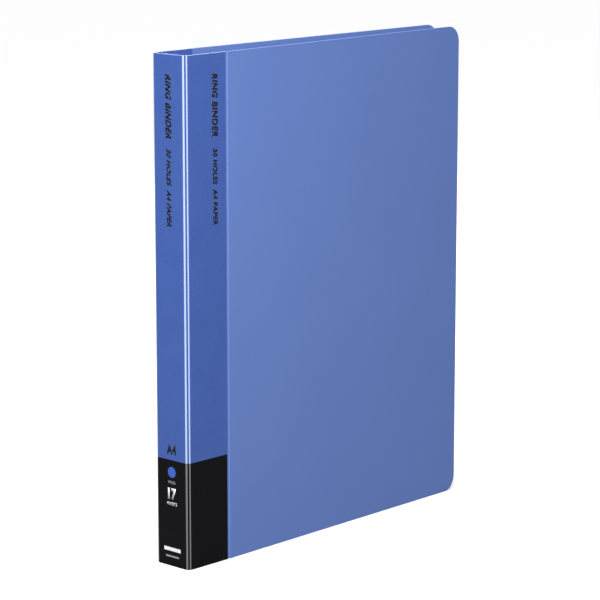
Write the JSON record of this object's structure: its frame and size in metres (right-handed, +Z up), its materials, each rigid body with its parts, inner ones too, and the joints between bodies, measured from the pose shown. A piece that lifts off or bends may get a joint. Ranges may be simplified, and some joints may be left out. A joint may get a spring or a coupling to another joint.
{
  "type": "ring binder",
  "caption": "Plastic binder for hole-punched A4 pockets, with a scored wrap-round cover that opens flat, a hinged ring fixture and clear pockets that turn on its rings.",
  "frame": {"origin": "middle of the closed binder's box at the edge that it stands on", "axes": "+X from the spine to the free edges, +Y from the front cover to the back cover, +Z up along the spine"},
  "size_m": [0.25, 0.0286, 0.307],
  "materials": {
    "cover_plastic": "fine-textured polypropylene sheet",
    "band_plastic": "smooth polypropylene sheet",
    "ring_plastic": "moulded, satin",
    "steel": "plated",
    "pocket_film": "clear film over a white card"
  },
  "bodies": {
    "back_strip_and_ring_base": {"back_hinge_strip": "band_plastic", "ring_base": "ring_plastic", "hinge_pin": "steel", "lever_pins": "steel", "rivets": "steel", "rivet_washers": "steel"},
    "spine": {"spine_panel": "band_plastic"},
    "front_strip": {"front_hinge_strip": "band_plastic"},
    "front_cover": {"front_panel": "cover_plastic"},
    "back_cover": {"back_panel": "cover_plastic"},
    "comb": {"ring_comb": "ring_plastic"},
    "top_lever": {"top_release_lever": "ring_plastic"},
    "bottom_lever": {"bottom_release_lever": "ring_plastic"},
    "pocket_01": {"pocket_01": "pocket_film"},
    "pocket_02": {"pocket_02": "pocket_film"},
    "pocket_03": {"pocket_03": "pocket_film"},
    "pocket_04": {"pocket_04": "pocket_film"},
    "pocket_05": {"pocket_05": "pocket_film"},
    "pocket_06": {"pocket_06": "pocket_film"},
    "pocket_07": {"pocket_07": "pocket_film"},
    "pocket_08": {"pocket_08": "pocket_film"},
    "pocket_09": {"pocket_09": "pocket_film"},
    "pocket_10": {"pocket_10": "pocket_film"},
    "pocket_11": {"pocket_11": "pocket_film"},
    "pocket_12": {"pocket_12": "pocket_film"},
    "pocket_13": {"pocket_13": "pocket_film"},
    "pocket_14": {"pocket_14": "pocket_film"},
    "pocket_15": {"pocket_15": "pocket_film"},
    "pocket_16": {"pocket_16": "pocket_film"},
    "pocket_17": {"pocket_17": "pocket_film"}
  },
  "joints": [
    {"name": "back_crease", "type": "hinge", "parent": "back_strip_and_ring_base", "child": "spine", "pos_m": [-0.12412, 0.01277, 0.1535], "axis": [0, 0, -1], "range_deg": [0, 90]},
    {"name": "front_crease", "type": "hinge", "parent": "spine", "child": "front_strip", "pos_m": [-0.12412, -0.01347, 0.1535], "axis": [0, 0, -1], "range_deg": [0, 90]},
    {"name": "front_groove", "type": "hinge", "parent": "front_strip", "child": "front_cover", "pos_m": [-0.091, -0.01435, 0.1535], "axis": [0, 0, -1], "range_deg": [0, 90]},
    {"name": "back_groove", "type": "hinge", "parent": "back_strip_and_ring_base", "child": "back_cover", "pos_m": [-0.091, 0.01365, 0.1535], "axis": [0, 0, 1], "range_deg": [0, 90]},
    {"name": "ring_opening", "type": "hinge", "parent": "back_strip_and_ring_base", "child": "comb", "pos_m": [-0.11382, 0.01005, 0.1535], "axis": [0, 0, -1], "range_deg": [0, 20]},
    {"name": "top_lever_press", "type": "hinge", "parent": "back_strip_and_ring_base", "child": "top_lever", "pos_m": [-0.10407, 0.01035, 0.2955], "axis": [-1, 0, 0], "range_deg": [0, 14]},
    {"name": "bottom_lever_press", "type": "hinge", "parent": "back_strip_and_ring_base", "child": "bottom_lever", "pos_m": [-0.10407, 0.01035, 0.0115], "axis": [1, 0, 0], "range_deg": [0, 14]},
    {"name": "pocket_01_turn", "type": "hinge", "parent": "back_strip_and_ring_base", "child": "pocket_01", "pos_m": [-0.106, 0.00025, 0.1535], "axis": [0, 0, -1], "range_deg": [0, 50.1]},
    {"name": "pocket_02_turn", "type": "hinge", "parent": "back_strip_and_ring_base", "child": "pocket_02", "pos_m": [-0.106, 0.00025, 0.1535], "axis": [0, 0, -1], "range_deg": [0, 47.23]},
    {"name": "pocket_03_turn", "type": "hinge", "parent": "back_strip_and_ring_base", "child": "pocket_03", "pos_m": [-0.106, 0.00025, 0.1535], "axis": [0, 0, -1], "range_deg": [0, 44.35]},
    {"name": "pocket_04_turn", "type": "hinge", "parent": "back_strip_and_ring_base", "child": "pocket_04", "pos_m": [-0.106, 0.00025, 0.1535], "axis": [0, 0, -1], "range_deg": [0, 41.48]},
    {"name": "pocket_05_turn", "type": "hinge", "parent": "back_strip_and_ring_base", "child": "pocket_05", "pos_m": [-0.106, 0.00025, 0.1535], "axis": [0, 0, -1], "range_deg": [0, 38.6]},
    {"name": "pocket_06_turn", "type": "hinge", "parent": "back_strip_and_ring_base", "child": "pocket_06", "pos_m": [-0.106, 0.00025, 0.1535], "axis": [0, 0, -1], "range_deg": [0, 35.73]},
    {"name": "pocket_07_turn", "type": "hinge", "parent": "back_strip_and_ring_base", "child": "pocket_07", "pos_m": [-0.106, 0.00025, 0.1535], "axis": [0, 0, -1], "range_deg": [0, 32.85]},
    {"name": "pocket_08_turn", "type": "hinge", "parent": "back_strip_and_ring_base", "child": "pocket_08", "pos_m": [-0.106, 0.00025, 0.1535], "axis": [0, 0, -1], "range_deg": [0, 29.98]},
    {"name": "pocket_09_turn", "type": "hinge", "parent": "back_strip_and_ring_base", "child": "pocket_09", "pos_m": [-0.106, 0.00025, 0.1535], "axis": [0, 0, -1], "range_deg": [0, 27.1]},
    {"name": "pocket_10_turn", "type": "hinge", "parent": "back_strip_and_ring_base", "child": "pocket_10", "pos_m": [-0.106, 0.00025, 0.1535], "axis": [0, 0, -1], "range_deg": [0, 24.23]},
    {"name": "pocket_11_turn", "type": "hinge", "parent": "back_strip_and_ring_base", "child": "pocket_11", "pos_m": [-0.106, 0.00025, 0.1535], "axis": [0, 0, -1], "range_deg": [0, 21.35]},
    {"name": "pocket_12_turn", "type": "hinge", "parent": "back_strip_and_ring_base", "child": "pocket_12", "pos_m": [-0.106, 0.00025, 0.1535], "axis": [0, 0, -1], "range_deg": [0, 18.48]},
    {"name": "pocket_13_turn", "type": "hinge", "parent": "back_strip_and_ring_base", "child": "pocket_13", "pos_m": [-0.106, 0.00025, 0.1535], "axis": [0, 0, -1], "range_deg": [0, 15.6]},
    {"name": "pocket_14_turn", "type": "hinge", "parent": "back_strip_and_ring_base", "child": "pocket_14", "pos_m": [-0.106, 0.00025, 0.1535], "axis": [0, 0, -1], "range_deg": [0, 12.72]},
    {"name": "pocket_15_turn", "type": "hinge", "parent": "back_strip_and_ring_base", "child": "pocket_15", "pos_m": [-0.106, 0.00025, 0.1535], "axis": [0, 0, -1], "range_deg": [0, 9.85]},
    {"name": "pocket_16_turn", "type": "hinge", "parent": "back_strip_and_ring_base", "child": "pocket_16", "pos_m": [-0.106, 0.00025, 0.1535], "axis": [0, 0, -1], "range_deg": [0, 6.97]},
    {"name": "pocket_17_turn", "type": "hinge", "parent": "back_strip_and_ring_base", "child": "pocket_17", "pos_m": [-0.106, 0.00025, 0.1535], "axis": [0, 0, -1], "range_deg": [0, 4.1]}
  ],
  "couplings": [
    {"joint": "top_lever_press", "follows": "ring_opening", "ratio": 0.68},
    {"joint": "bottom_lever_press", "follows": "ring_opening", "ratio": 0.68},
    {"joint": "pocket_01_turn", "follows": "front_crease", "ratio": 0.55556},
    {"joint": "pocket_02_turn", "follows": "front_crease", "ratio": 0.52361},
    {"joint": "pocket_03_turn", "follows": "front_crease", "ratio": 0.49167},
    {"joint": "pocket_04_turn", "follows": "front_crease", "ratio": 0.45972},
    {"joint": "pocket_05_turn", "follows": "front_crease", "ratio": 0.42778},
    {"joint": "pocket_06_turn", "follows": "front_crease", "ratio": 0.39583},
    {"joint": "pocket_07_turn", "follows": "front_crease", "ratio": 0.36389},
    {"joint": "pocket_08_turn", "follows": "front_crease", "ratio": 0.33194},
    {"joint": "pocket_09_turn", "follows": "front_crease", "ratio": 0.3},
    {"joint": "pocket_10_turn", "follows": "front_crease", "ratio": 0.26806},
    {"joint": "pocket_11_turn", "follows": "front_crease", "ratio": 0.23611},
    {"joint": "pocket_12_turn", "follows": "front_crease", "ratio": 0.20417},
    {"joint": "pocket_13_turn", "follows": "front_crease", "ratio": 0.17222},
    {"joint": "pocket_14_turn", "follows": "front_crease", "ratio": 0.14028},
    {"joint": "pocket_15_turn", "follows": "front_crease", "ratio": 0.10833},
    {"joint": "pocket_16_turn", "follows": "front_crease", "ratio": 0.07639},
    {"joint": "pocket_17_turn", "follows": "front_crease", "ratio": 0.04444}
  ]
}
